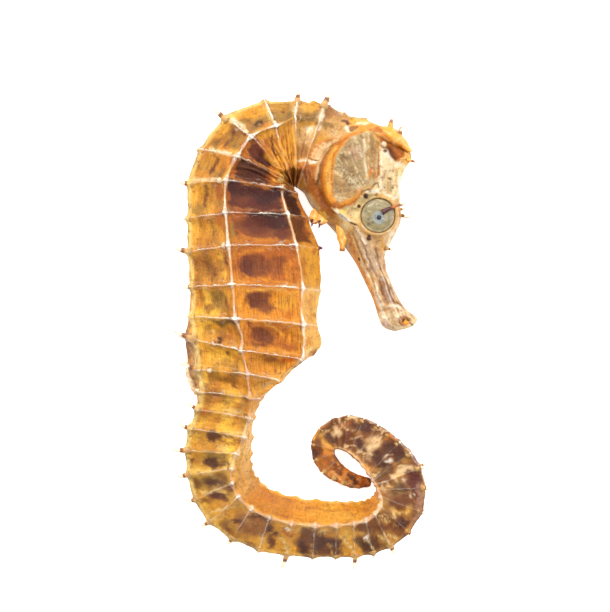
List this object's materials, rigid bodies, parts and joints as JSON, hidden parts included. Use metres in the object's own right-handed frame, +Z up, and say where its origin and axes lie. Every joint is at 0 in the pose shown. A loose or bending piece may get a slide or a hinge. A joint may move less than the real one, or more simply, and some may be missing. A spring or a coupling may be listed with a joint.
{
  "type": "dried seahorse specimen",
  "caption": "Life-size dried spiny seahorse lying on its side, with arched neck, tube snout, coronet and tail curled forward.",
  "frame": {"origin": "centre of the bounding box, on the surface that the specimen lies on", "axes": "+Y towards the top of the arched neck and along the longest extent, +X from back to belly, +Z up through the right flank"},
  "size_m": [0.0402, 0.0748, 0.0144],
  "materials": {
    "skin": "dry amber skin shrunk over bony rings, slightly glossy, with cream ridges",
    "bone": "yellow to cream bare bone with brown tips",
    "eye": "dull dried eye, khaki with a dark pupil",
    "fin": "thin dried fin membrane with paler rays"
  },
  "bodies": {
    "root": {"snout": "skin", "head": "skin", "neck": "skin", "trunk_upper": "skin", "trunk_middle": "skin", "trunk_lower": "skin", "tail_1": "skin", "tail_2": "skin", "tail_3": "skin", "tail_4": "skin", "tail_5": "skin", "tail_6": "skin", "tail_7": "skin", "tail_8": "skin", "tail_tip": "skin", "coronet": "bone", "eye_right": "eye", "eye_left": "eye", "pectoral_fin_right": "fin", "pectoral_fin_left": "fin", "dorsal_fin": "fin"}
  },
  "joints": []
}
